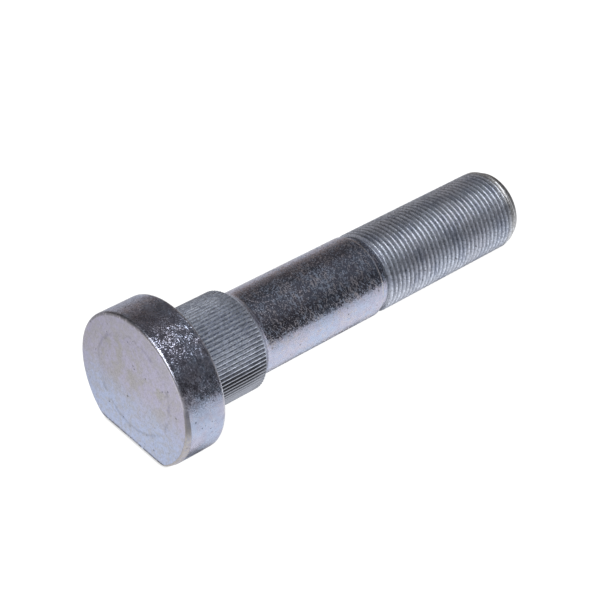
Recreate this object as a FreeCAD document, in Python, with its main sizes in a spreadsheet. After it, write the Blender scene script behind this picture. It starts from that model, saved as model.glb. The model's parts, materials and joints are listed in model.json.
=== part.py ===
import FreeCAD, Part

import math
import os

import Sketcher

# Brake drum bolt: a forged steel wheel stud with a disc head that has one flat side, a serrated collar
# that is pressed into the hub, a plain shank and a rolled thread. It is one piece.
# Millimetres. Inside the body the bolt's axis is X, and X = 0 is the seat under the head.
# The body's placement then lays the bolt down as it rests: on the head's flat and on its threaded tip.

NODE = "brake_drum_bolt"

# Driving sizes, each with what it measures
SIZES = [
    ("head_diameter", 40.0, "disc head, across its round side"),
    ("head_height", 11.7, "outer face of the head to the seat under it"),
    ("head_flat_depth", 4.0, "how far the flat cuts into the round side"),
    ("head_corner_radius", 3.0, "corners where the flat meets the round side"),
    ("head_edge_radius", 0.7, "edges round the outer face and round the seat"),
    ("collar_diameter", 26.4, "over the tips of the serrations"),
    ("collar_length", 19.0, "seat to the far end of the collar"),
    ("collar_lead_in", 0.5, "45 degree lead-in at the far end of the collar"),
    ("collar_cone_length", 2.0, "cone from the collar down to the shank"),
    ("serration_count", 76, "serrations round the collar"),
    ("serration_depth", 0.45, "depth of the groove between two serrations"),
    ("serration_angle", 80.0, "angle between a groove's two flanks, in degrees"),
    ("shank_diameter", 22.2, "plain shank"),
    ("shank_reach", 60.0, "seat to the end of the plain shank"),
    ("thread_diameter", 22.0, "major diameter of the thread"),
    ("thread_pitch", 1.5, "pitch of the thread"),
    ("land_length", 2.0, "shank's end to the thread, over the blank land"),
    ("land_taper", 0.5, "length of the taper at each end of the land"),
    ("bolt_reach", 111.6, "seat to the tip"),
    ("tip_length", 2.4, "length of the taper at the tip"),
    ("tip_diameter", 19.8, "flat end of the tip"),
]

# A rolled thread is raised from a blank of its pitch diameter, which stays bare on the land
LAND_RADIUS = "(sheet.thread_diameter / 2 - 3 * sqrt(3) / 16 * sheet.thread_pitch)"
FLAT_DISTANCE = "(sheet.head_diameter / 2 - sheet.head_flat_depth)"

# A coordinate that a point shares with the point before it
SAME = None

# Half section of the turned bolt: place along the axis, then radius
SECTION = [
    ("-sheet.head_height", "0"),
    (SAME, "sheet.head_diameter / 2"),
    ("0", SAME),
    (SAME, "sheet.collar_diameter / 2"),
    ("sheet.collar_length - sheet.collar_lead_in", SAME),
    ("sheet.collar_length", "sheet.collar_diameter / 2 - sheet.collar_lead_in"),
    ("sheet.collar_length + sheet.collar_cone_length", "sheet.shank_diameter / 2"),
    ("sheet.shank_reach", SAME),
    ("sheet.shank_reach + sheet.land_taper", LAND_RADIUS),
    ("sheet.shank_reach + sheet.land_length - sheet.land_taper", SAME),
    ("sheet.shank_reach + sheet.land_length", "sheet.thread_diameter / 2"),
    ("sheet.bolt_reach - sheet.tip_length", SAME),
    ("sheet.bolt_reach", "sheet.tip_diameter / 2"),
    (SAME, "0"),
]

# What lies beyond the flat on the head, as a rectangle wider than the head: across, then up
BEYOND_FLAT = [
    ("-sheet.head_diameter", "-" + FLAT_DISTANCE),
    ("sheet.head_diameter", SAME),
    (SAME, "-sheet.head_diameter"),
    ("-sheet.head_diameter", SAME),
]

# One groove between two serrations, carried past their tips by its own depth: across, then up
GROOVE_HALF_WIDTH = "2 * sheet.serration_depth * tan(sheet.serration_angle * 1deg / 2)"
GROOVE = [
    ("0", "sheet.collar_diameter / 2 - sheet.serration_depth"),
    (GROOVE_HALF_WIDTH, "sheet.collar_diameter / 2 + sheet.serration_depth"),
    ("-" + GROOVE_HALF_WIDTH, SAME),
]

# The bolt rests on the rear edge of its flat and on the full thread where the tip's taper starts
REST_TILT = ("atan((%s - sheet.thread_diameter / 2)"
             " / (sheet.bolt_reach - sheet.tip_length + sheet.head_edge_radius))" % FLAT_DISTANCE)

# Sketcher's numbers for its two axes and for a line's two ends
H_AXIS = -1
V_AXIS = -2
START = 1
END = 2

TOLERANCE = 1e-6


def make_sheet(doc):
    sheet = doc.addObject("Spreadsheet::Sheet", "sheet")
    for row, (alias, value, meaning) in enumerate(SIZES, start=1):
        sheet.set("A%d" % row, alias)
        sheet.set("B%d" % row, str(value))
        sheet.set("C%d" % row, meaning)
        sheet.setAlias("B%d" % row, alias)
    doc.recompute()


def value_of(body, expression):
    """What an expression on the sheet comes to now, as a plain number."""
    result = body.evalExpression(expression)
    return float(getattr(result, "Value", result))


def origin_feature(body, role):
    return next(item for item in body.Origin.OriginFeatures if item.Role == role)


def hold(sketch, index, expression, value, distance, level, axis):
    """Holds one coordinate of the point where line number index starts."""
    if expression is SAME:
        sketch.addConstraint(Sketcher.Constraint(level, index - 1))
    elif expression == "0":
        sketch.addConstraint(Sketcher.Constraint("PointOnObject", index, START, axis))
    else:
        number = sketch.addConstraint(Sketcher.Constraint(distance, index, START, value))
        name = "%s_%d" % (distance, index)
        sketch.renameConstraint(number, name)
        sketch.setExpression("Constraints." + name, expression)


def make_sketch(body, name, plane, points):
    """A closed outline of straight lines, each point held by an axis, the point before it or the sheet."""
    sketch = body.newObject("Sketcher::SketchObject", name)
    sketch.AttachmentSupport = [(origin_feature(body, plane), "")]
    sketch.MapMode = "FlatFace"

    places = []
    for across, up in points:
        x = places[-1].x if across is SAME else value_of(body, across)
        y = places[-1].y if up is SAME else value_of(body, up)
        places.append(FreeCAD.Vector(x, y, 0))
    ends = places[1:] + places[:1]
    sketch.addGeometry([Part.LineSegment(start, end) for start, end in zip(places, ends)], False)

    for index, (across, up) in enumerate(points):
        following = (index + 1) % len(points)
        sketch.addConstraint(Sketcher.Constraint("Coincident", index, END, following, START))
        hold(sketch, index, across, places[index].x, "DistanceX", "Vertical", V_AXIS)
        hold(sketch, index, up, places[index].y, "DistanceY", "Horizontal", H_AXIS)
    return sketch


def turn_blank(body):
    """Turns the half section round the bolt's axis."""
    sketch = make_sketch(body, "section", "XY_Plane", SECTION)
    blank = body.newObject("PartDesign::Revolution", "blank")
    blank.Profile = sketch
    blank.ReferenceAxis = (sketch, ["H_Axis"])
    blank.Angle = 360.0
    return blank


def cut_flat(body):
    """Cuts the flat across the head only, from the seat to the outer face."""
    flat = body.newObject("PartDesign::Pocket", "head_flat")
    flat.Profile = make_sketch(body, "beyond_flat", "YZ_Plane", BEYOND_FLAT)
    flat.setExpression("Length", "sheet.head_height")
    return flat


def round_edges(body, name, base, is_chosen, radius):
    """Rounds the base's edges that is_chosen picks."""
    body.Document.recompute()
    edges = ["Edge%d" % number for number, edge in enumerate(base.Shape.Edges, start=1) if is_chosen(edge)]
    rounded = body.newObject("PartDesign::Fillet", name)
    rounded.Base = (base, edges)
    rounded.setExpression("Radius", radius)
    return rounded


def round_head(body, base):
    """Rounds the flat's two corners, then the edges round the outer face and round the seat."""
    face = -value_of(body, "sheet.head_height")
    seat = 0.0
    flat = -value_of(body, FLAT_DISTANCE)
    collar = value_of(body, "sheet.collar_diameter / 2")

    def is_corner(edge):
        box = edge.BoundBox
        runs_along = box.YLength < TOLERANCE and box.ZLength < TOLERANCE
        return runs_along and abs(box.ZMin - flat) < TOLERANCE

    def is_rim(edge):
        box = edge.BoundBox
        on_end = box.XLength < TOLERANCE and min(abs(box.XMin - face), abs(box.XMin - seat)) < TOLERANCE
        reach = max(math.hypot(vertex.Y, vertex.Z) for vertex in edge.Vertexes)
        return on_end and reach > collar + TOLERANCE

    corners = round_edges(body, "head_corners", base, is_corner, "sheet.head_corner_radius")
    return round_edges(body, "head_edges", corners, is_rim, "sheet.head_edge_radius")


def serrate_collar(body):
    """Cuts one groove along the collar and its cone, and repeats it all the way round."""
    groove = body.newObject("PartDesign::Pocket", "groove")
    groove.Profile = make_sketch(body, "groove_section", "YZ_Plane", GROOVE)
    groove.Reversed = True
    groove.setExpression("Length", "sheet.collar_length + sheet.collar_cone_length")

    serrations = body.newObject("PartDesign::PolarPattern", "serrations")
    serrations.Originals = [groove]
    serrations.Axis = (origin_feature(body, "X_Axis"), [""])
    serrations.Angle = 360.0
    serrations.setExpression("Occurrences", "sheet.serration_count")
    body.Tip = serrations
    return serrations


def lay_down(body):
    """Tilts the bolt about the centre of its seat, tip down, until flat and thread are level."""
    level = FreeCAD.Vector(0, 1, 0)
    body.Placement = FreeCAD.Placement(FreeCAD.Vector(), FreeCAD.Rotation(level, 1.0))
    body.setExpression("Placement.Rotation.Angle", REST_TILT)


def check(doc, body, stages):
    """Stops where a feature failed, a cut took nothing away or the bolt isn't one valid solid."""
    for item in doc.Objects:
        if "Invalid" in item.State or "Error" in item.State:
            raise RuntimeError("%s failed: %s" % (item.Name, item.State))
    for before, after in zip(stages, stages[1:]):
        if after.Shape.Volume >= before.Shape.Volume:
            raise RuntimeError("%s took nothing away" % after.Name)
    shape = body.Shape
    if shape.isNull() or not shape.isValid() or len(shape.Solids) != 1:
        raise RuntimeError("%s is not one valid solid" % body.Label)


doc = FreeCAD.newDocument(NODE)
make_sheet(doc)
bolt = doc.addObject("PartDesign::Body", "bolt")
bolt.Label = NODE

blank = turn_blank(bolt)
head_flat = cut_flat(bolt)
head_edges = round_head(bolt, head_flat)
serrations = serrate_collar(bolt)
lay_down(bolt)
doc.recompute()

stages = [blank, head_flat, head_edges, serrations]
check(doc, bolt, stages)

os.makedirs("parts", exist_ok=True)
bolt.Shape.exportStep("parts/%s.step" % bolt.Label)

for stage in stages:
    print("%-12s %9.1f mm3" % (stage.Name, stage.Shape.Volume))
box = bolt.Shape.optimalBoundingBox()
print("box %.2f x %.2f x %.2f mm, lowest %.3f" % (box.XLength, box.YLength, box.ZLength, box.ZMin))
print("rests tilted by %.4f degrees" % value_of(bolt, REST_TILT))
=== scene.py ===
# %% [markdown]
# # A brake drum bolt
#
# The object is one zinc-plated steel bolt, the kind that is pressed through a truck's hub to carry a
# wheel nut. It lies on its side, so it touches the floor at the flat of its head and at the end of its
# thread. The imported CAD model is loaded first. It fixes every size and place, and this script only
# dresses it.

import json
import math

import bmesh
import bpy
from mathutils import Matrix, Vector


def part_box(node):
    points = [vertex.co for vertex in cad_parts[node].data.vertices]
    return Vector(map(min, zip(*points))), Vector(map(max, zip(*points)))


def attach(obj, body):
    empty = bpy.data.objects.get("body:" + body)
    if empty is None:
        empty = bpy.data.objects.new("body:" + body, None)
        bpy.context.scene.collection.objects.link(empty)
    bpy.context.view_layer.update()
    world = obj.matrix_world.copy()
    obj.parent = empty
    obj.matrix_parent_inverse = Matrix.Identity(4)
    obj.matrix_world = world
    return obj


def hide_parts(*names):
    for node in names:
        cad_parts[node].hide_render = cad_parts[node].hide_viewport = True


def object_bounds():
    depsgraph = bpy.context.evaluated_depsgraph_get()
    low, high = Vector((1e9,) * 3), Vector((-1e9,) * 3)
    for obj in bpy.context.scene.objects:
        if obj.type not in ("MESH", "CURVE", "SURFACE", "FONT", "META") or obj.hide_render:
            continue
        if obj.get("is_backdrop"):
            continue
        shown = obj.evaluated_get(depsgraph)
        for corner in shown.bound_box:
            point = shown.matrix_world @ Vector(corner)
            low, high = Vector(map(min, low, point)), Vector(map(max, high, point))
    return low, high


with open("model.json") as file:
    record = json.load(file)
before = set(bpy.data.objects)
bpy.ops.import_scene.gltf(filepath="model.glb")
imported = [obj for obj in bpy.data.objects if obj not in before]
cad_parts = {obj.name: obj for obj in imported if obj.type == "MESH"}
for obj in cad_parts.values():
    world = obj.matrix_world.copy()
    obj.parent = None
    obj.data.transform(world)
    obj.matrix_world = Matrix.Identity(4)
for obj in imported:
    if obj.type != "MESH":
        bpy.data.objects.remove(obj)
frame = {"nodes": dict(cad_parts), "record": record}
cad_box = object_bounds()
NODE = "brake_drum_bolt"
MM = 0.001

print("CAD box in mm:", [[round(value / MM, 2) for value in corner] for corner in cad_box])

# %% [markdown]
# ## Sizes
#
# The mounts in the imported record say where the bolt's axis runs and how thick each stretch of it is.
# The CAD mesh itself gives the two ends of the bolt along that axis. Reading both keeps this script
# true to the model. Only what neither of them says is written out here, in millimetres, as in the
# part's source.

# %% Sizes from the frame
mounts = {mount["name"]: mount for mount in frame["record"]["mounts"]}
axis = Vector(mounts["head_seat"]["axis"])
tilt = math.atan2(-axis.z, axis.x)


def reach(name):
    """Where a mount's stretch of the axis starts and ends, measured from the seat under the head."""
    centre = Vector(mounts[name]["pos_m"]).dot(axis) / MM
    half = mounts[name]["dims"]["length_mm"] / 2
    return centre - half, centre + half


stations = [vertex.co.dot(axis) / MM for vertex in frame["nodes"][NODE].data.vertices]
head_face = min(stations)
tip_end = max(stations)
head_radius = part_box(NODE)[1].y / MM
flat_distance = Vector(mounts["head_flat"]["pos_m"]).dot(Vector(mounts["head_flat"]["axis"])) / MM
collar_radius = mounts["collar"]["dims"]["r_mm"]
collar_end = reach("collar")[1]
shank_radius = mounts["shank"]["dims"]["r_mm"]
shank_start, shank_end = reach("shank")
thread_radius = mounts["thread"]["dims"]["r_mm"]
thread_start, taper_start = reach("thread")

print("tilt %.3f degrees, face at %.2f, tip at %.2f mm" % (math.degrees(tilt), head_face, tip_end))
print("collar to %.2f, shank %.2f to %.2f, thread %.2f to %.2f mm"
      % (collar_end, shank_start, shank_end, thread_start, taper_start))

# %% Sizes that the frame does not say
HEAD_EDGE = 0.7
SERRATIONS = 76
SERRATION_DEPTH = 0.45
COLLAR_LEAD_IN = 0.5
PITCH = 1.5
LAND_TAPER = 0.5
SHANK_EDGE = 0.5
CONE_FILLET = 2.5
TIP_RADIUS = 9.9

# Shares of the pitch: how deep the thread is, and how far below its crests the blank lay before rolling
DEPTH_SHARE = 0.6134
BLANK_SHARE = 3 * math.sqrt(3) / 16
thread_depth = DEPTH_SHARE * PITCH
land_radius = thread_radius - BLANK_SHARE * PITCH

print("thread %.3f mm deep, land of radius %.3f mm" % (thread_depth, land_radius))

# %% [markdown]
# ## A bench for nodes
#
# Both the bolt's shape and its plating are sums over sockets. Wiring them one link at a time hides the
# sum, so one small class lets a socket take part in an ordinary Python expression, and each operator
# adds a Math node. Every other node comes from one method that sets the node up first and then fills or
# links its sockets.

# %% A socket that can be added, and the bench that it lies on
class Wire:
    """One output socket. Sums on wires add Math nodes to their tree."""

    def __init__(self, bench, socket):
        self.bench = bench
        self.socket = socket

    def output(self, name):
        """Another output of the same node."""
        return Wire(self.bench, self.socket.node.outputs[name])

    def maths(self, operation, *terms):
        return self.bench.maths(operation, self, *terms)

    def __add__(self, other):
        return self.maths("ADD", other)

    def __radd__(self, other):
        return self.maths("ADD", other)

    def __sub__(self, other):
        return self.maths("SUBTRACT", other)

    def __rsub__(self, other):
        return self.bench.maths("SUBTRACT", other, self)

    def __mul__(self, other):
        return self.maths("MULTIPLY", other)

    def __rmul__(self, other):
        return self.maths("MULTIPLY", other)

    def __truediv__(self, other):
        return self.maths("DIVIDE", other)

    def __rtruediv__(self, other):
        return self.bench.maths("DIVIDE", other, self)

    def __pow__(self, other):
        return self.maths("POWER", other)


class Bench:
    """A node tree that is being wired."""

    def __init__(self, tree):
        self.tree = tree

    def add(self, kind, settings=(), values=(), output=0):
        """Adds one node, sets it up, fills or links its sockets and returns one of its outputs."""
        node = self.tree.nodes.new(kind)
        for name, value in dict(settings).items():
            setattr(node, name, value)
        for key, value in dict(values).items():
            if isinstance(value, Wire):
                self.tree.links.new(value.socket, node.inputs[key])
            else:
                node.inputs[key].default_value = value
        return Wire(self, node.outputs[output]) if node.outputs else node

    def maths(self, operation, *terms):
        return self.add("ShaderNodeMath", {"operation": operation}, dict(enumerate(terms)))

    def step(self, value, start, end):
        """0 up to start, 1 from end on, and a soft rise between them."""
        return self.add("ShaderNodeMapRange", {"interpolation_type": "SMOOTHSTEP"},
                        {"Value": value, "From Min": start, "From Max": end})

    def blend(self, share, first, second):
        """A colour between two others."""
        return self.add("ShaderNodeMix", {"data_type": "RGBA"}, {0: share, 6: first, 7: second}, 2)


print("bench ready")

# %% [markdown]
# ## The half section
#
# A lathe hand thinks of the bolt as a half section that is turned round the axis. Here the section is a
# list of rows from the middle of the head's face to the middle of the tip. Each row knows its place
# along the axis, and which rule shapes it on its way round: the head's outline with its flat, the
# serrations, the thread, or plain turning. A modelled cylinder with cuts would need a Boolean for each
# rule, and those leave poor faces.

# %% Rows of the head's face
RULES = ("station", "radius", "head", "inset", "ease", "front", "bare", "soil", "scuffed", "lift",
         "serrated", "thread", "height")
rows = []


def row(station, radius=0.0, **rules):
    """Adds a row to the section. A rule that is not given is 0."""
    rows.append({**dict.fromkeys(RULES, 0.0), "station": station, "radius": radius, **rules})


# A shallow ring that the forging die left on the face, a little above the axis
DIE_RING_RADIUS = 13.2
DIE_RING_LIFT = 2.0
DIE_RING_WIDTH = 1.0
DIE_RING_DEPTH = 0.07

row(head_face, lift=DIE_RING_LIFT)
for share in (0.25, 0.6):
    row(head_face, DIE_RING_RADIUS * share, lift=DIE_RING_LIFT)
row(head_face, DIE_RING_RADIUS - DIE_RING_WIDTH / 2, lift=DIE_RING_LIFT)
row(head_face + DIE_RING_DEPTH, DIE_RING_RADIUS, lift=DIE_RING_LIFT)
row(head_face, DIE_RING_RADIUS + DIE_RING_WIDTH / 2, lift=DIE_RING_LIFT)

print(len(rows), "rows for the face")

# %% Rows of the head's edges and side
# Insets and eases are shares of the edge's radius.
# A row beside each edge keeps the plain face flat up to it
EDGE_STEPS = 6
# The scuff rules give the rims a lighter tint: partly real scuffs, partly a painted highlight along the
# edges
FRONT_SCUFF_SHEEN = 0.25
REAR_SCUFF_SHEEN = 0.5
quarter = [math.pi / 2 * number / EDGE_STEPS for number in range(EDGE_STEPS + 1)]

row(head_face, head=1.0, inset=1.8, front=1.0)
# From here the rows along the front edge carry painted shade along the flat's edge
row(head_face, head=1.0, inset=1.2, front=1.0, soil=0.9)
for bend in quarter:
    row(head_face, head=1.0, inset=1 - math.sin(bend), ease=1 - math.cos(bend), front=1.0, bare=1.0,
        soil=1.0, scuffed=FRONT_SCUFF_SHEEN)
row(head_face, head=1.0, ease=1.1, front=1.0)
row(head_face / 2, head=1.0)
row(0.0, head=1.0, ease=-1.2)
for bend in reversed(quarter):
    row(0.0, head=1.0, inset=1 - math.sin(bend), ease=math.cos(bend) - 1, scuffed=REAR_SCUFF_SHEEN)

print(len(rows), "rows up to the seat")

# %% Rows of the collar and its cone
lead_start = collar_end - COLLAR_LEAD_IN
for share in (0.0, 0.25, 0.5, 0.75, 1.0):
    row(share * lead_start, collar_radius, serrated=1.0)
for share in (0.45, 0.9):
    row(lead_start + share * COLLAR_LEAD_IN, collar_radius - share * COLLAR_LEAD_IN, serrated=1.0)
row(collar_end, collar_radius - COLLAR_LEAD_IN)

cone_slope = math.atan2(collar_radius - COLLAR_LEAD_IN - shank_radius, shank_start - collar_end)
fillet_end = shank_start + CONE_FILLET * math.tan(cone_slope / 2)
for share in (1.0, 0.75, 0.5, 0.25, 0.0):
    sloped = share * cone_slope
    row(fillet_end - CONE_FILLET * math.sin(sloped), shank_radius + CONE_FILLET * (1 - math.cos(sloped)))

print(len(rows), "rows up to the shank")

# %% Rows of the shank and the land
# A row this far from a rounding keeps the straight stretch beside it straight
SHANK_HOLD = 0.2
LAND_HOLD = 0.15

row(fillet_end + SHANK_HOLD, shank_radius)
for share in (0.25, 0.5, 0.75):
    row(shank_start + share * (shank_end - shank_start), shank_radius)
land_slope = math.atan2(shank_radius - land_radius, LAND_TAPER)
round_start = shank_end - SHANK_EDGE * math.tan(land_slope / 2)
row(round_start - SHANK_HOLD, shank_radius)
# The shank's rounded end is scuffed, and its lighter tint there is a painted highlight as well as a scuff
for share in (0.0, 0.33, 0.67, 1.0):
    bend = share * land_slope
    row(round_start + SHANK_EDGE * math.sin(bend), shank_radius - SHANK_EDGE * (1 - math.cos(bend)),
        scuffed=1.0)
land_start = shank_end + LAND_TAPER
row(land_start, land_radius)
row(land_start + LAND_HOLD, land_radius)

print(len(rows), "rows up to the thread")

# %% Rows of the thread and the tip
# One turn of the thread from root to root: share of the pitch, then share of the depth
HALF_TURN = ((0.0, 0.0), (0.09, 0.03), (0.14, 0.17), (0.36, 0.79), (0.42, 0.94), (0.5, 1.0))
TURN = HALF_TURN + tuple((1 - share, height) for share, height in HALF_TURN[-2:0:-1])
TIP_EDGE = 0.15
TIP_SCUFF_SHEEN = 0.5
LAST_ROOT_TO_TIP = 0.43
LAND_TO_ROOT = 0.2

last_root = tip_end - LAST_ROOT_TO_TIP - PITCH
turns = int((last_root - land_start - LAND_TO_ROOT) / PITCH)
first_root = last_root - turns * PITCH
for number in range(turns):
    for share, height in TURN:
        row(first_root + (number + share) * PITCH, thread=1.0, height=height)
row(last_root, thread=1.0)
# The tip's edge is scuffed, with a lighter tint that is partly a painted highlight
row(tip_end - TIP_EDGE / 2, TIP_RADIUS, scuffed=TIP_SCUFF_SHEEN)
row(tip_end, TIP_RADIUS - TIP_EDGE / 2)
row(tip_end, 0.5 * TIP_RADIUS)
row(tip_end)

print(turns, "turns of thread,", len(rows), "rows in all")

# %% [markdown]
# The rows become the vertices of a bare mesh, with one attribute for each rule. Geometry Nodes can read
# attributes by name, so the mesh carries the whole half section into the tree.

# %% The half section as a mesh
section_mesh = bpy.data.meshes.new("half_section")
section_mesh.from_pydata([(entry["station"], entry["radius"], 0.0) for entry in rows], [], [])
for rule in RULES:
    attribute = section_mesh.attributes.new(rule, "FLOAT", "POINT")
    attribute.data.foreach_set("value", [entry[rule] for entry in rows])

print(len(section_mesh.vertices), "vertices with", len(RULES), "attributes")

# %% [markdown]
# ## Turning the section
#
# A grid with one line of vertices for each row is wrapped round the axis. Each vertex finds its row,
# and its radius follows that row's rule. The thread is the same grid sheared by one pitch in one turn,
# so its rows join up with the next turn's rows where the grid closes. A Screw modifier could wind the
# thread too, but it could not run it out into the land or cut it back at the tip.

# %% The tree and its named inputs
COLUMNS_PER_TOOTH = 3
LENGTHS = {
    "Head radius": head_radius,
    "Flat distance": flat_distance,
    "Corner blend": 1.4,
    "Head edge": HEAD_EDGE,
    "Worn edge": 0.95,
    "Collar radius": collar_radius,
    "Serration depth": SERRATION_DEPTH,
    "Land radius": land_radius,
    "Thread radius": thread_radius,
    "Thread depth": thread_depth,
    "Pitch": PITCH,
    "Run-out start": thread_start - 0.20 * PITCH,
    "Run-out end": thread_start + 0.25 * PITCH,
    "Taper start": taper_start,
    "Tip end": tip_end,
    "Tip radius": TIP_RADIUS,
    "Tilt": tilt,
}
COUNTS = {"Columns": COLUMNS_PER_TOOTH * SERRATIONS, "Serrations": SERRATIONS}

tree = bpy.data.node_groups.new("turned_bolt", "GeometryNodeTree")
bench = Bench(tree)
tree.interface.new_socket("Section", in_out="INPUT", socket_type="NodeSocketGeometry")
for name in LENGTHS:
    tree.interface.new_socket(name, in_out="INPUT", socket_type="NodeSocketFloat")
for name in COUNTS:
    tree.interface.new_socket(name, in_out="INPUT", socket_type="NodeSocketInt")
tree.interface.new_socket("Plating", in_out="INPUT", socket_type="NodeSocketMaterial")
tree.interface.new_socket("Bolt", in_out="OUTPUT", socket_type="NodeSocketGeometry")
entry_node = tree.nodes.new("NodeGroupInput")
size = {socket.name: Wire(bench, socket) for socket in entry_node.outputs if socket.name}

print(len(size), "inputs")

# %% The grid, and the row and column of each vertex
row_count = bench.add("GeometryNodeAttributeDomainSize", {"component": "MESH"},
                      {"Geometry": size["Section"]})
lines_round = size["Columns"] + 1
grid = bench.add("GeometryNodeMeshGrid", {}, {"Vertices X": row_count, "Vertices Y": lines_round})
index = bench.add("GeometryNodeInputIndex")
row_number = ((index + 0.5) / lines_round).maths("FLOOR")
turn = (index - row_number * lines_round) / size["Columns"]
angle = turn * math.tau


def of_row(rule):
    """A rule's value in the vertex's row."""
    named = bench.add("GeometryNodeInputNamedAttribute", {"data_type": "FLOAT"}, {"Name": rule},
                      "Attribute")
    return bench.add("GeometryNodeSampleIndex", {"data_type": "FLOAT", "domain": "POINT"},
                     {"Geometry": size["Section"], "Value": named, "Index": row_number}, "Value")


print("grid of", len(rows), "rows by", COUNTS["Columns"], "columns")

# %% The head: a round outline with one flat, and an edge that is worn wider at one corner
# The flat's outline runs off to infinity at the sides, so the cosine that it is divided by has a floor
LEAST_COSINE = 0.02
head = of_row("head")
inset = of_row("inset")
edge = inset * size["Head edge"]
to_flat = angle.maths("COSINE").maths("MAXIMUM", LEAST_COSINE)
outline = (size["Head radius"] - edge).maths(
    "SMOOTH_MIN", (size["Flat distance"] - edge) / to_flat, size["Corner blend"])

# The wear starts on the round side, grows towards the flat's corner and ends there
WEAR_START = math.radians(236)
WEAR_FULL = math.radians(300)
WEAR_CORNER = math.radians(318)
WEAR_END = math.radians(330)
WORN_INSET = 0.6
wear = bench.step(angle, WEAR_START, WEAR_FULL) * (1 - bench.step(angle, WEAR_CORNER, WEAR_END))
slip = (1 - inset / WORN_INSET).maths("MAXIMUM", 0.0) * of_row("front")
head_shift = of_row("ease") * size["Head edge"] + slip * wear * size["Worn edge"]

print("head rule wired")

# %% The collar: a groove between each two serrations
place_in_tooth = (turn * size["Serrations"] + 0.5).maths("FRACT") - 0.5
furrow = 1 - COLUMNS_PER_TOOTH * place_in_tooth.maths("ABSOLUTE")
groove = size["Collar radius"] - size["Serration depth"] * furrow
turned = of_row("radius")
serrated = of_row("serrated")
collar = turned.maths("MINIMUM", groove + (1 - serrated) * size["Head radius"])

print("collar rule wired")

# %% The thread: a sheared grid that runs out into the land and is cut back at the tip
thread = of_row("thread")
height_there = of_row("height")
slid = of_row("station") + head * head_shift + thread * turn * size["Pitch"]
rise = bench.step(slid, size["Run-out start"], size["Run-out end"])
full = size["Thread radius"] - size["Thread depth"] * (1 - height_there)
rolled = size["Land radius"] + rise * (full - size["Land radius"])
taper = size["Thread radius"] - (size["Thread radius"] - size["Tip radius"]) * (
    (slid - size["Taper start"]) / (size["Tip end"] - size["Taper start"]))
cut = rolled.maths("MINIMUM", taper)

print("thread rule wired")

# %% Wrap the grid round the axis
radius = head * outline + thread * cut + (1 - head) * (1 - thread) * collar
point = bench.add("ShaderNodeCombineXYZ", {}, {
    "X": slid,
    "Y": radius * angle.maths("SINE"),
    "Z": of_row("lift") - radius * angle.maths("COSINE"),
})
wrapped = bench.add("GeometryNodeSetPosition", {}, {"Geometry": grid, "Position": point})

print("grid wrapped")

# %% Marks that the plating reads later
# The flat lies where the cosine is high. Painted shade lies along its edge,
# and a thinner painted dark reflection on the upper left of the face
FLAT_FROM = 0.76
FLAT_FULL = 0.82
EDGE_SHADE_START = math.radians(110)
EDGE_SHADE_END = math.radians(200)
EDGE_SHADE_FADE = math.radians(25)
UPPER_EDGE_SHADE = 0.6

bare = of_row("bare")
flat_side = bench.step(angle.maths("COSINE"), FLAT_FROM, FLAT_FULL)
upper_side = bench.step(angle, EDGE_SHADE_START, EDGE_SHADE_START + EDGE_SHADE_FADE)
upper_side = upper_side * (1 - bench.step(angle, EDGE_SHADE_END - EDGE_SHADE_FADE, EDGE_SHADE_END))
MARKS = {
    "scuffed": of_row("scuffed"),
    "worn": wear * bare,
    "soiled": flat_side * of_row("soil") + UPPER_EDGE_SHADE * upper_side * bare,
    "rolled": thread,
    "crest": thread * height_there,
    "toothed": serrated,
    "furrow": serrated * furrow,
}
marked = wrapped
for name, value in MARKS.items():
    marked = bench.add("GeometryNodeStoreNamedAttribute", {"data_type": "FLOAT", "domain": "POINT"},
                       {"Geometry": marked, "Name": name, "Value": value})

print(len(MARKS), "marks stored")

# %% Weld the grid and lay the bolt down
WELD_WITHIN = 0.002
welded = bench.add("GeometryNodeMergeByDistance", {}, {"Geometry": marked, "Distance": WELD_WITHIN})
laid = bench.add("GeometryNodeTransform", {},
                 {"Geometry": welded, "Scale": (MM, MM, MM),
                  "Rotation": bench.add("ShaderNodeCombineXYZ", {}, {"Y": size["Tilt"]})})
whole = bench.add("GeometryNodeRealizeInstances", {}, {"Geometry": laid})
plated = bench.add("GeometryNodeSetMaterial", {}, {"Geometry": whole, "Material": size["Plating"]})
bench.add("NodeGroupOutput", {}, {"Bolt": plated})

print(len(tree.nodes), "nodes in the tree")

# %% [markdown]
# ## Zinc plating
#
# Fresh zinc plate is a thin, slightly blue metal over a surface that was forged or rolled, so it is
# glossy in the large and grainy close up: a bright band keeps a clear edge, while the dark parts
# glitter with fine specks. A noise bump alone would only blur the band. Here small flakes each tilt the
# surface their own way, which gives the glitter, and slow noise shifts the tint between blue, lilac and
# warm grey. The handled stretches differ: the collar is burred, with a painted sheen on its upper half,
# the plain stretches are frosted with fine strokes, and the thread is dull with smoother crests that
# carry painted glints. Some light and shade is painted into the tint too: a painted reflection at the
# foot of the head's face, painted shade in the furrows and along the head's edge, and partly painted
# shade in the thread's roots.

# %% Where a point lies on the bolt
# How far from each border one stretch's finish gives way to the next one's
FACE_FADE_START = 0.05
FACE_FADE_END = 0.4
SEAT_FADE = 0.1
THREAD_FADE_START = 0.1 * PITCH
THREAD_FADE_END = 0.2 * PITCH
END_FADE_START = 0.2
END_FADE_END = 0.05

material = bpy.data.materials.new("zinc_plate")
material.use_nodes = True
material.node_tree.nodes.clear()
plate = Bench(material.node_tree)

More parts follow.
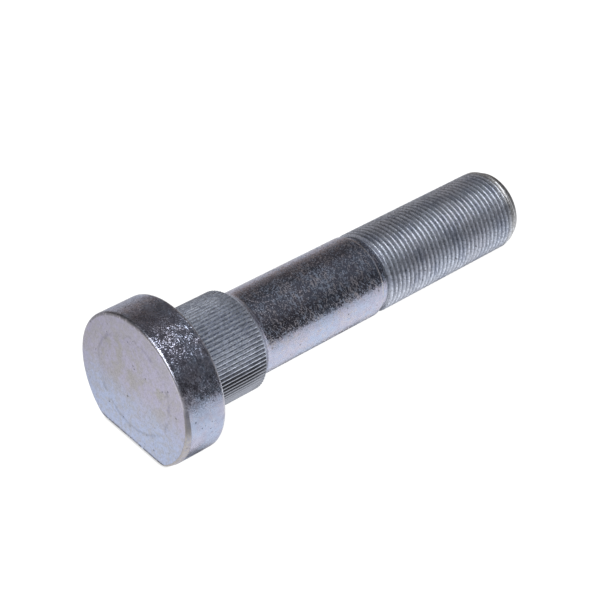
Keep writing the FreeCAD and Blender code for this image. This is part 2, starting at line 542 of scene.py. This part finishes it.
place = plate.add("ShaderNodeTexCoord", {}, {}, "Object")
on_bolt = plate.add("ShaderNodeMapping", {"vector_type": "POINT"},
                    {"Vector": place, "Rotation": (0, -tilt, 0), "Scale": (1 / MM, 1 / MM, 1 / MM)})
along = plate.add("ShaderNodeSeparateXYZ", {}, {"Vector": on_bolt}, "X")
across = along.output("Y")
upward = along.output("Z")
past_face = plate.step(along, head_face + FACE_FADE_START, head_face + FACE_FADE_END)
on_face = 1 - past_face
on_side = past_face * (1 - plate.step(along, -SEAT_FADE, SEAT_FADE))
on_collar = plate.step(along, 0.0, SEAT_FADE) * (1 - plate.step(along, collar_end, shank_start))
on_thread = plate.step(along, thread_start - THREAD_FADE_START, thread_start + THREAD_FADE_END)
on_end = plate.step(along, tip_end - END_FADE_START, tip_end - END_FADE_END)
plain = (1 - on_face) * (1 - on_thread) * (1 - on_collar)

print("masks along the bolt wired")

# %% Patterns to draw with
def noise(scale, detail, roughness=0.5, output=0):
    return plate.add("ShaderNodeTexNoise", {"noise_dimensions": "3D"},
                     {"Vector": on_bolt, "Scale": scale, "Detail": detail, "Roughness": roughness}, output)


def patches(scale, detail, start, end, roughness=0.5):
    """Noise as soft-edged patches, 0 below start and 1 above end."""
    return plate.step(noise(scale, detail, roughness), start, end)


def flakes(scale, channel):
    """Small cells, each with its own number from 0 to 1."""
    cells = plate.add("ShaderNodeTexVoronoi", {"feature": "F1"},
                      {"Vector": on_bolt, "Scale": scale}, "Color")
    return plate.add("ShaderNodeSeparateColor", {}, {"Color": cells}, channel)


def strokes(direction, length, width):
    """Streaks that run along one direction, from 0 to 1."""
    stretched = plate.add("ShaderNodeMapping", {"vector_type": "TEXTURE"},
                          {"Vector": on_bolt, "Rotation": direction, "Scale": (length, width, width)})
    return plate.add("ShaderNodeTexNoise", {"noise_dimensions": "3D"},
                     {"Vector": stretched, "Scale": 1.0, "Detail": 1.0})


def mark(name):
    """An attribute that the tree stored on the mesh."""
    stored = {"attribute_type": "GEOMETRY", "attribute_name": name}
    return plate.add("ShaderNodeAttribute", stored, {}, "Fac")


scuffed = mark("scuffed")
worn = mark("worn")
crest = mark("crest")

print("patterns ready")

# %% Grain: small flakes that each tilt the surface their own way
# How far the flakes tilt, and how strong the fine noise under them is, with what each stretch adds
TILT = {"all": 0.14, "side": 0.30, "collar": -0.12, "burr": 0.10, "thread": -0.05, "face": -0.10}
FINE = {"all": 0.26, "face": -0.16, "thread": 0.04, "collar": -0.10}
FLAKES_PER_MM = 5.0
MIDDLE = (0.5, 0.5, 0.5)


def vector_maths(operation, *terms):
    return plate.add("ShaderNodeVectorMath", {"operation": operation}, dict(enumerate(terms)))


def scaled(vector, amount):
    return plate.add("ShaderNodeVectorMath", {"operation": "SCALE"}, {0: vector, "Scale": amount})


# The collar is burred on its upper half, with a border that wanders, and its lighter tint there is a
# painted sheen
BURR_SHEEN_WANDER = 5
BURR_SHEEN_FROM = 3.0
BURR_SHEEN_FULL = 8.0
patchy = patches(0.30, 3.0, 0.32, 0.58)
burr_and_sheen = on_collar * plate.step(upward + BURR_SHEEN_WANDER * noise(0.35, 2.0), BURR_SHEEN_FROM, BURR_SHEEN_FULL)
lean = TILT["all"] + TILT["side"] * on_side * patchy + TILT["collar"] * on_collar
lean = lean + TILT["burr"] * burr_and_sheen + TILT["thread"] * on_thread + TILT["face"] * on_face
bias = flakes(FLAKES_PER_MM, "Red") * 2 - 1
along_tilt = scaled(tuple(axis), bias * bias.maths("ABSOLUTE") * lean)
amount = FINE["all"] + FINE["face"] * on_face + FINE["thread"] * on_thread + FINE["collar"] * on_collar
fine = scaled(vector_maths("SUBTRACT", noise(2.6, 2.0, 0.6, "Color"), MIDDLE), amount)
smooth_normal = plate.add("ShaderNodeNewGeometry", {}, {}, "Normal")
tilted = vector_maths("ADD", smooth_normal, vector_maths("ADD", along_tilt, fine))
normal = vector_maths("NORMALIZE", tilted)

print("grain wired")

# %% Tint of the face: blue at its foot, a painted reflection of the table, and lilac above, with warm patches inside the die's ring
FACE_LILAC = (0.345, 0.33, 0.425, 1.0)
FACE_WARM = (0.305, 0.295, 0.29, 1.0)
FACE_BLUE_REFLECTION = (0.33, 0.375, 0.51, 1.0)

# Heights above the ring's middle where the painted blue reflection gives way to lilac, where warm patches
# begin and are full, and how warm they get
LILAC_WANDER = 14
LILAC_FROM = -12.0
LILAC_FULL = 2.0
WARM_FROM = -12.0
WARM_FULL = 4.0
WARM_OUTSIDE = 0.35
WARM_IN_RING = 0.5
WARM_MOTTLE = 0.5
RING_FADE = 2

above_ring = upward - DIE_RING_LIFT
from_middle = (across * across + above_ring * above_ring) ** 0.5
in_ring = 1 - plate.step(from_middle, DIE_RING_RADIUS - RING_FADE, DIE_RING_RADIUS)
wandering = above_ring + LILAC_WANDER * (noise(0.16, 3.0) - 0.5)
reflection_to_lilac = plate.step(wandering, LILAC_FROM, LILAC_FULL)
warm_patch = patches(0.24, 4.0, 0.44, 0.60, 0.6) * plate.step(above_ring, WARM_FROM, WARM_FULL)
# The blue at the face's foot is a painted reflection of the table close below it
face_tint = plate.blend(reflection_to_lilac, FACE_BLUE_REFLECTION, FACE_LILAC)
face_tint = plate.blend((WARM_OUTSIDE + WARM_IN_RING * in_ring) * warm_patch, face_tint, FACE_WARM)
face_tint = plate.blend(WARM_MOTTLE * patches(0.7, 4.0, 0.42, 0.62, 0.7), face_tint, FACE_WARM)

print("face tint wired")

# %% Tint of the stretches, and of the edges that were scuffed or worn
BLUE = (0.355, 0.405, 0.54, 1.0)
LILAC = (0.40, 0.395, 0.49, 1.0)
GREY = (0.50, 0.535, 0.61, 1.0)
STEEL = (0.29, 0.305, 0.35, 1.0)
FILED_SHEEN = (0.54, 0.59, 0.72, 1.0)
# A bright blue-white tint for painted glints, and for painted streaks on the burred collar
BURR_GLINT = (0.82, 0.88, 1.0, 1.0)
SMUDGE = (0.30, 0.335, 0.43, 1.0)
TIP = (0.61, 0.59, 0.54, 1.0)
RIM_SCUFF_SHEEN = (0.62, 0.605, 0.615, 1.0)
BARE = (0.42, 0.395, 0.385, 1.0)
ALONG_COLLAR = (0.0, 0.0, 0.0)
TIP_TINT_FROM = 4.5
TIP_TINT_FULL = 2.2

# How much each layer hides of the tint below it
COVER = {"thread": 0.8, "smudge": 0.6, "tip": 0.55, "wear": 0.85, "mist": 0.6, "frost": 0.70, "glint": 0.9}

tint = plate.blend(patches(0.09, 2.0, 0.38, 0.62), BLUE, LILAC)
tint = plate.blend(on_face, tint, face_tint)
tint = plate.blend(COVER["thread"] * on_thread, tint, GREY)
# The collar's upper half is lighter: a painted sheen over the burred plate, with bright painted streaks
# along it
tint = plate.blend(on_collar, tint, plate.blend(burr_and_sheen, STEEL, FILED_SHEEN))
tint = plate.blend(burr_and_sheen * plate.step(strokes(ALONG_COLLAR, 1.6, 0.22), 0.44, 0.60), tint, BURR_GLINT)
tint = plate.blend(COVER["smudge"] * on_thread * patches(0.22, 3.0, 0.50, 0.64), tint, SMUDGE)
near_tip = plate.step(along, tip_end - TIP_TINT_FROM, tip_end - TIP_TINT_FULL)
tint = plate.blend(COVER["tip"] * near_tip, tint, TIP)
# Scuffed rims get a lighter tint: a painted highlight over real scuffs
tint = plate.blend(scuffed, tint, RIM_SCUFF_SHEEN)
tint = plate.blend(COVER["wear"] * plate.step(worn, 0.02, 0.5), tint, BARE)

print("tint of the stretches wired")

# %% Frost: light, dull strokes in three directions on the plain stretches, over a darker mist
FROST = (0.58, 0.55, 0.58, 1.0)
FROST_BLUE = (0.46, 0.535, 0.67, 1.0)
MIST = (0.33, 0.325, 0.42, 1.0)
STROKE_LENGTH = 1.8
STROKE_WIDTH = 0.36
SIDE_CUT = 0.6
CLOUD_CUT = 0.05

scratch = strokes((0.3, 0.5, 0.6), STROKE_LENGTH, STROKE_WIDTH)
for direction in ((0.0, -0.7, 1.4), (0.6, 0.9, -0.6)):
    scratch = scratch.maths("MAXIMUM", strokes(direction, STROKE_LENGTH, STROKE_WIDTH))
cloudy = patches(0.16, 3.0, 0.36, 0.60)
frost = plain * (1 - SIDE_CUT * on_side) * plate.step(scratch - CLOUD_CUT * cloudy, 0.55, 0.62)
frost_tint = plate.blend(patches(0.6, 2.0, 0.40, 0.60), FROST, FROST_BLUE)
tint = plate.blend(COVER["mist"] * plain * patches(0.55, 4.0, 0.44, 0.62, 0.65), tint, MIST)
tint = plate.blend(COVER["frost"] * frost, tint, frost_tint)

print("frost wired")

# %% Dirt in the die's ring and round the worn edge, nicks, painted shade in the furrows, the thread's roots and along the head's edge, and painted glints on the crests
# A dark tint, used for real dirt and pits and for painted shade
DARK_DIRT_AND_SHADE = (0.07, 0.07, 0.08, 1.0)
# How dark each mark gets: real dirt in the die's ring, nicks and round the worn edge, painted shade in the
# furrows and along the rim, and both in the thread's roots
DIRT_AND_SHADE = {"furrow": 0.75, "root": 0.24, "nick": 0.42, "ring": 0.26, "worn rim": 0.6, "rim shade": 0.9}
BURR_SHEEN_LESS_SHADE = 0.28
FURROW_POWER = 1.6
RING_WANDER = 1.6
END_NICKS = 0.65
BURR_NICKS = 0.75
GLINT = 0.45

ring = (from_middle + RING_WANDER * (noise(0.5, 2.0) - 0.5) - DIE_RING_RADIUS).maths("ABSOLUTE")
ring_dirt = on_face * (1 - plate.step(ring, 0.1, 0.7)) * patches(0.3, 2.0, 0.40, 0.6)
worn_rim = plate.step(worn, 0.05, 0.2) * (1 - plate.step(worn, 0.4, 0.7))
# Painted shade along the flat's edge, and a painted dark reflection along the upper left of the front edge
rim_shade = mark("soiled") * patches(1.2, 2.0, 0.32, 0.50)
# The furrows are darkened with painted shade, less on the burred upper half
furrow_shade = (DIRT_AND_SHADE["furrow"] - BURR_SHEEN_LESS_SHADE * burr_and_sheen) * mark("furrow") ** FURROW_POWER
nicked = on_thread - END_NICKS * on_end + BURR_NICKS * burr_and_sheen
nicks = nicked * patches(2.4, 3.0, 0.47, 0.60, 0.7)
# The thread's roots are darker: partly painted shade, partly a thinner, duller plate in the hollows
dirt_and_shade = furrow_shade + DIRT_AND_SHADE["root"] * on_thread * (1 - crest) + DIRT_AND_SHADE["nick"] * nicks
dirt_and_shade = dirt_and_shade + DIRT_AND_SHADE["ring"] * ring_dirt + DIRT_AND_SHADE["worn rim"] * worn_rim + DIRT_AND_SHADE["rim shade"] * rim_shade
tint = plate.blend(dirt_and_shade, tint, DARK_DIRT_AND_SHADE)
# Painted glints: bright specks of tint on the thread's crests and the burred collar
glint_places = GLINT * on_thread * crest ** 2 + GLINT * burr_and_sheen
glints = glint_places * plate.step(flakes(2.2, "Blue"), 0.70, 0.80)
tint = plate.blend(COVER["glint"] * glints, tint, BURR_GLINT)

print("dirt wired")

# %% Pits everywhere, and specks, clouds and grit on the face
STAIN = {"pit": 0.6, "speck": 0.40, "cloud": 0.18, "grit": 0.11}

pits = plate.add("ShaderNodeTexVoronoi", {"feature": "F1"}, {"Vector": on_bolt, "Scale": 0.55}, "Distance")
pit = (1 - plate.step(pits, 0.10, 0.20)) * patches(0.8, 1.0, 0.5, 0.6)
specks = on_face * patches(2.2, 3.0, 0.58, 0.72, 0.7) * patches(0.25, 2.0, 0.40, 0.60)
clouds = on_face * patches(1.6, 4.0, 0.40, 0.70, 0.7)
grit = on_face * patches(2.8, 2.0, 0.46, 0.60, 0.7)
stain = STAIN["pit"] * pit + STAIN["speck"] * specks + STAIN["cloud"] * clouds + STAIN["grit"] * grit
tint = plate.blend(stain, tint, DARK_DIRT_AND_SHADE)

print("pits wired")

# %% Polish, and the finished plating
# Roughness of the bright plate, and what each stretch and mark adds to it
DULL = {"all": 0.165, "side": 0.12, "frost": 0.33, "speck": 0.06, "face": 0.17, "collar": 0.15,
        "burr": 0.22, "thread": 0.32, "crest": -0.10, "scuff": 0.15, "wear": 0.22, "pit": 0.15}
GRAZING_TINT = (0.68, 0.68, 0.70, 1.0)

speck = flakes(2.8, "Green")
polish = DULL["all"] + DULL["side"] * on_side * patchy + DULL["frost"] * frost
polish = polish + DULL["speck"] * plain * speck * speck + DULL["face"] * on_face
polish = polish + DULL["collar"] * on_collar + DULL["burr"] * burr_and_sheen
polish = polish + on_thread * (DULL["thread"] + DULL["crest"] * crest ** 4)
polish = polish + DULL["scuff"] * scuffed + DULL["wear"] * worn + DULL["pit"] * pit
shader = plate.add("ShaderNodeBsdfPrincipled", {},
                   {"Base Color": tint, "Metallic": 1.0, "Roughness": polish, "Normal": normal,
                    "Specular Tint": GRAZING_TINT})
plate.add("ShaderNodeOutputMaterial", {}, {"Surface": shader})

print(len(material.node_tree.nodes), "nodes in the plating")

# %% [markdown]
# ## The bolt as a plain mesh
#
# The modifier's inputs are set by their identifiers before the first evaluation. The result becomes a
# plain mesh, because an export drops live node trees. Where the first and the last turn of the thread
# begin, the sheared grid leaves a slit with one long side and many short ones. Filling it would add
# slivers, so the long side is split at each vertex of the other side, and both are welded.

# %% Evaluate the tree
section = bpy.data.objects.new("half_section", section_mesh)
bpy.context.scene.collection.objects.link(section)
turning = section.modifiers.new("turning", "NODES")
turning.node_group = tree
chosen = {**LENGTHS, **COUNTS, "Plating": material}
for socket in tree.interface.items_tree:
    if socket.in_out == "INPUT" and socket.name in chosen:
        turning[socket.identifier] = chosen[socket.name]
section.update_tag()
evaluated = section.evaluated_get(bpy.context.evaluated_depsgraph_get())
skin = bpy.data.meshes.new_from_object(evaluated)
skin.name = "plated_bolt"
bpy.data.objects.remove(section)

print(len(skin.vertices), "vertices,", len(skin.polygons), "faces")

# %% Close the slits at both ends of the thread
SLIT_WELD = 2e-6
NEAR_ANCHOR = 0.01


def open_loops(bm):
    """The open edges, one list for each slit, in the mesh's own order."""
    left = dict.fromkeys(edge for edge in bm.edges if edge.is_boundary)
    loops = []
    while left:
        loop = [left.popitem()[0]]
        for edge in loop:
            joined = [link for vertex in edge.verts for link in vertex.link_edges if link in left]
            for link in joined:
                left.pop(link, None)
            loop.extend(joined)
        loops.append(loop)
    return loops


def short_side(loop, long_side):
    """The places along a slit's other side, from the long side's first vertex to its last."""
    here, end = long_side.verts
    used = {long_side}
    places = []
    while here is not end:
        stretch = next(edge for edge in here.link_edges if edge in loop and edge not in used)
        used.add(stretch)
        here = stretch.other_vert(here)
        places.append(here.co.copy())
    return places


def close_slits(bm):
    """Splits each slit's long side at the vertices of its other side, then welds the two."""
    for loop in open_loops(bm):
        piece = max(loop, key=lambda edge: edge.calc_length())
        anchor, end = piece.verts
        for corner_place in short_side(loop, piece)[:-1]:
            anchor = bmesh.utils.edge_split(piece, anchor, NEAR_ANCHOR)[1]
            anchor.co = corner_place
            piece = next(edge for edge in anchor.link_edges if end in edge.verts)
    rim = [vertex for vertex in bm.verts if vertex.is_boundary]
    bmesh.ops.remove_doubles(bm, verts=rim, dist=SLIT_WELD)


bm = bmesh.new()
bm.from_mesh(skin)
print("open edges before:", sum(edge.is_boundary for edge in bm.edges))
close_slits(bm)
print("open edges after:", sum(edge.is_boundary for edge in bm.edges))

# %% Turn the faces outwards, and keep crisp edges crisp
CRISP = math.radians(32)

bmesh.ops.recalc_face_normals(bm, faces=bm.faces)
if bm.calc_volume(signed=True) < 0:
    bmesh.ops.reverse_faces(bm, faces=bm.faces)
rolled_layer = bm.verts.layers.float["rolled"]
toothed_layer = bm.verts.layers.float["toothed"]
for face in bm.faces:
    face.smooth = True
for edge in bm.edges:
    in_thread = all(vertex[rolled_layer] > 0.5 for vertex in edge.verts)
    on_tooth = all(vertex[toothed_layer] > 0.5 for vertex in edge.verts)
    rounded = on_tooth and edge.calc_face_angle_signed(0.0) > 0
    edge.smooth = in_thread or rounded or edge.calc_face_angle(0.0) < CRISP
volume = bm.calc_volume() / MM ** 3
bm.to_mesh(skin)
bm.free()
bolt = bpy.data.objects.new("plated_bolt", skin)
bpy.context.scene.collection.objects.link(bolt)
skin.calc_loop_triangles()

print("%d triangles, %.0f mm3" % (len(skin.loop_triangles), volume))

# %% [markdown]
# The bolt is one rigid piece, so it rides on the only body there is and stands for the only node.

# %% Tie the bolt to the frame
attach(bolt, "root")
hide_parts(NODE)

print("riding on root in place of", NODE)

# %% [markdown]
# ## A table that glows
#
# Parts like this are photographed on a white table that is lit from below, because polished metal shows
# what is round it and a table's own shadow would blacken the underside. So the floor here gives off
# most of its light itself. The metal sees a pool of light along the bolt, which fades out towards the
# near edge, and a shade close under the bolt. The camera sees plain white, apart from a thin dark line
# where metal and table meet.

# %% The table's top
TABLE_NEAR = -0.136
TABLE_FAR = 0.60
TABLE_SIDE = 0.60

level = cad_box[0].z
corners = [(-TABLE_SIDE, TABLE_NEAR), (TABLE_SIDE, TABLE_NEAR),
           (TABLE_SIDE, TABLE_FAR), (-TABLE_SIDE, TABLE_FAR)]
floor_mesh = bpy.data.meshes.new("table")
floor_mesh.from_pydata([(x, y, level) for x, y in corners], [], [(0, 1, 2, 3)])
floor = bpy.data.objects.new("table", floor_mesh)
bpy.context.scene.collection.objects.link(floor)
floor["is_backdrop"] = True

print("floor at %.3f mm" % (level / MM))

# %% The table's glow
TABLE_FADE = 0.036
FLOOR_GLOW = 0.90
POOL_GLOW = 0.50
POOL_WIDTH = 0.045
FLOOR_GREY = (0.15, 0.15, 0.15, 1.0)
SHADE_REACH = 0.0065
SHADE_POWER = 2.5
CONTACT_REACH = 0.0007
CONTACT_GLOW = 0.4

floor_material = bpy.data.materials.new("white_table")
floor_material.use_nodes = True
floor_material.node_tree.nodes.clear()
table = Bench(floor_material.node_tree)


def openness(distance):
    """1 where nothing stands within the distance, and less where something does."""
    return table.add("ShaderNodeAmbientOcclusion", {"samples": 8}, {"Distance": distance}, "AO")


table_place = table.add("ShaderNodeTexCoord", {}, {}, "Object")
lengthwise = table.add("ShaderNodeSeparateXYZ", {}, {"Vector": table_place}, "X")
aside = lengthwise.output("Y")
pool = FLOOR_GLOW + POOL_GLOW * table.maths("EXPONENT", -1.0 * (aside / POOL_WIDTH) ** 2.0)
pool = pool * table.step(aside, TABLE_NEAR, TABLE_NEAR + TABLE_FADE)
behind_face = table.step(lengthwise, head_face * MM, head_face * MM + SHADE_REACH)
under_bolt = 1 - behind_face * (1 - openness(SHADE_REACH) ** SHADE_POWER)
contact = openness(CONTACT_REACH)
table_seen = table.add("ShaderNodeLightPath", {}, {}, "Is Camera Ray")
white_glow = CONTACT_GLOW + (1 - CONTACT_GLOW) * contact * contact
glow = table_seen * white_glow + (1 - table_seen) * pool * under_bolt
sheet = table.add("ShaderNodeBsdfPrincipled", {},
                  {"Base Color": FLOOR_GREY, "Roughness": 0.9, "Specular IOR Level": 0.0,
                   "Emission Color": glow, "Emission Strength": 1.0})
table.add("ShaderNodeOutputMaterial", {}, {"Surface": sheet})
floor_mesh.materials.append(floor_material)

print(len(floor_material.node_tree.nodes), "nodes in the table")

# %% [markdown]
# ## Light
#
# One soft lamp hangs over the bolt on the camera's side. The room round it is dark and a little
# cluttered, which gives plated metal its dark bands. It brightens towards the far horizon, past the tip
# and behind the head. A picture of a room would do this too, but a few soft steps are easier to set.
# The camera itself sees only white.

# %% The lamp
LAMP_AIM = Vector((0.044, 0.003, -0.004))
LAMP_SIDE = Vector((-0.42, -0.25, 0.87)).normalized()
LAMP_DISTANCE = 0.8
LAMP_WIDTH = 0.30
LAMP_LENGTH = 0.90
LAMP_WATTS = 6.0

lamp_data = bpy.data.lights.new("overhead_lamp", "AREA")
lamp_data.shape = "RECTANGLE"
lamp_data.size = LAMP_WIDTH
lamp_data.size_y = LAMP_LENGTH
lamp_data.energy = LAMP_WATTS
lamp = bpy.data.objects.new("overhead_lamp", lamp_data)
lamp.location = LAMP_AIM + LAMP_SIDE * LAMP_DISTANCE
lamp.rotation_euler = LAMP_SIDE.to_track_quat("Z", "Y").to_euler()
bpy.context.scene.collection.objects.link(lamp)

print("lamp at", [round(value, 3) for value in lamp.location], "m")

# %% The room: how much light comes from each direction
WALL_GLOW = 0.045
CLUTTER_GLOW = 0.06
OVERHEAD_GLOW = 0.08
TIP_GLOW = 0.3
HEAD_GLOW = 0.8
OVERHEAD = (0.53, -0.15, 0.83)

room = bpy.data.worlds.new("dark_room")
bpy.context.scene.world = room
room.use_nodes = True
room.node_tree.nodes.clear()
air = Bench(room.node_tree)
look = air.add("ShaderNodeTexCoord", {}, {}, "Generated")
look_along = air.add("ShaderNodeSeparateXYZ", {}, {"Vector": look}, "X")
look_across = look_along.output("Y")
look_up = look_along.output("Z")
clutter = air.add("ShaderNodeTexNoise", {"noise_dimensions": "3D"},
                  {"Vector": look, "Scale": 4.0, "Detail": 1.0})
overhead = air.add("ShaderNodeVectorMath", {"operation": "DOT_PRODUCT"}, {0: look, 1: OVERHEAD}, "Value")
past_tip = air.step(look_along, 0.90, 0.98) * (1 - air.step(look_up, 0.15, 0.35))
past_head = (1 - air.step(look_along, -0.7, -0.4)) * (1 - air.step(look_up, 0.2, 0.6))
past_head = past_head * air.step(look_across, 0.1, 0.4)
wall_light = WALL_GLOW + CLUTTER_GLOW * air.step(clutter, 0.40, 0.60)
wall_light = wall_light + OVERHEAD_GLOW * air.step(overhead, 0.75, 1.0)
wall_light = wall_light + TIP_GLOW * past_tip + HEAD_GLOW * past_head

print("walls wired")

# %% The room: a warm far horizon, and white for the camera
BLACK = (0.0, 0.0, 0.0, 1.0)
WHITE = (1.0, 1.0, 1.0, 1.0)
WALL_TINT = (1.0, 0.98, 1.0, 1.0)
HORIZON_TINT = (0.70, 0.58, 0.48, 1.0)
HORIZON_FALL = 6.0
HORIZON_CUT = 0.6

low_down = air.maths("EXPONENT", -HORIZON_FALL * look_up.maths("MAXIMUM", 0.0))
horizon = low_down * air.step(look_across, 0.0, 0.5)
beside_head = air.step(look_along, -0.55, -0.3) * (1 - air.step(look_along, 0.1, 0.4))
horizon = horizon * (1 - HORIZON_CUT * beside_head)
surroundings = air.blend(horizon, air.blend(wall_light, BLACK, WALL_TINT), HORIZON_TINT)
room_seen = air.add("ShaderNodeLightPath", {}, {}, "Is Camera Ray")
background = air.add("ShaderNodeBackground", {}, {"Color": air.blend(room_seen, surroundings, WHITE)})
air.add("ShaderNodeOutputWorld", {}, {"Surface": background})

print(len(room.node_tree.nodes), "nodes in the room")

# %% [markdown]
# ## Camera
#
# The camera stands where the photograph was taken, found by fitting the bolt's outline. A long lens a
# little under half a metre away keeps the head and the tip in true proportion. The standard view keeps
# white as white.

# %% The camera
AZIMUTH = -43.928
ELEVATION = 40.033
ROLL = 2.542
DISTANCE = 0.45052
LENS = 106.605
SENSOR = 36.0
AIM = Vector((44.418, 3.257, -4.047)) * MM

turned_by = math.radians(AZIMUTH)
raised_by = math.radians(ELEVATION)
back = Vector((math.sin(turned_by) * math.cos(raised_by), -math.cos(turned_by) * math.cos(raised_by),
               math.sin(raised_by)))
right = Vector((math.cos(turned_by), math.sin(turned_by), 0.0))
up = back.cross(right)
stance = Matrix((right, up, back)).transposed() @ Matrix.Rotation(math.radians(ROLL), 3, "Z")
camera_data = bpy.data.cameras.new("camera")
camera_data.lens = LENS
camera_data.sensor_width = SENSOR
camera_data.clip_start = 0.01
camera_data.clip_end = 20.0
camera = bpy.data.objects.new("camera", camera_data)
camera.matrix_world = Matrix.Translation(AIM + back * DISTANCE) @ stance.to_4x4()
bpy.context.scene.collection.objects.link(camera)
bpy.context.scene.camera = camera
bpy.context.scene.view_settings.view_transform = "Standard"

print("camera at", [round(value / MM, 1) for value in camera.location], "mm")

# %% [markdown]
# ## The dressed bolt's box
#
# The dressed bolt must not outgrow the CAD model, so its box is printed here, beside the CAD box printed
# at the start.

# %% The dressed bolt's box
visual_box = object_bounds()
for name, corner in zip(("low", "high"), visual_box):
    print(name, "corner in mm:", [round(value / MM, 2) for value in corner])
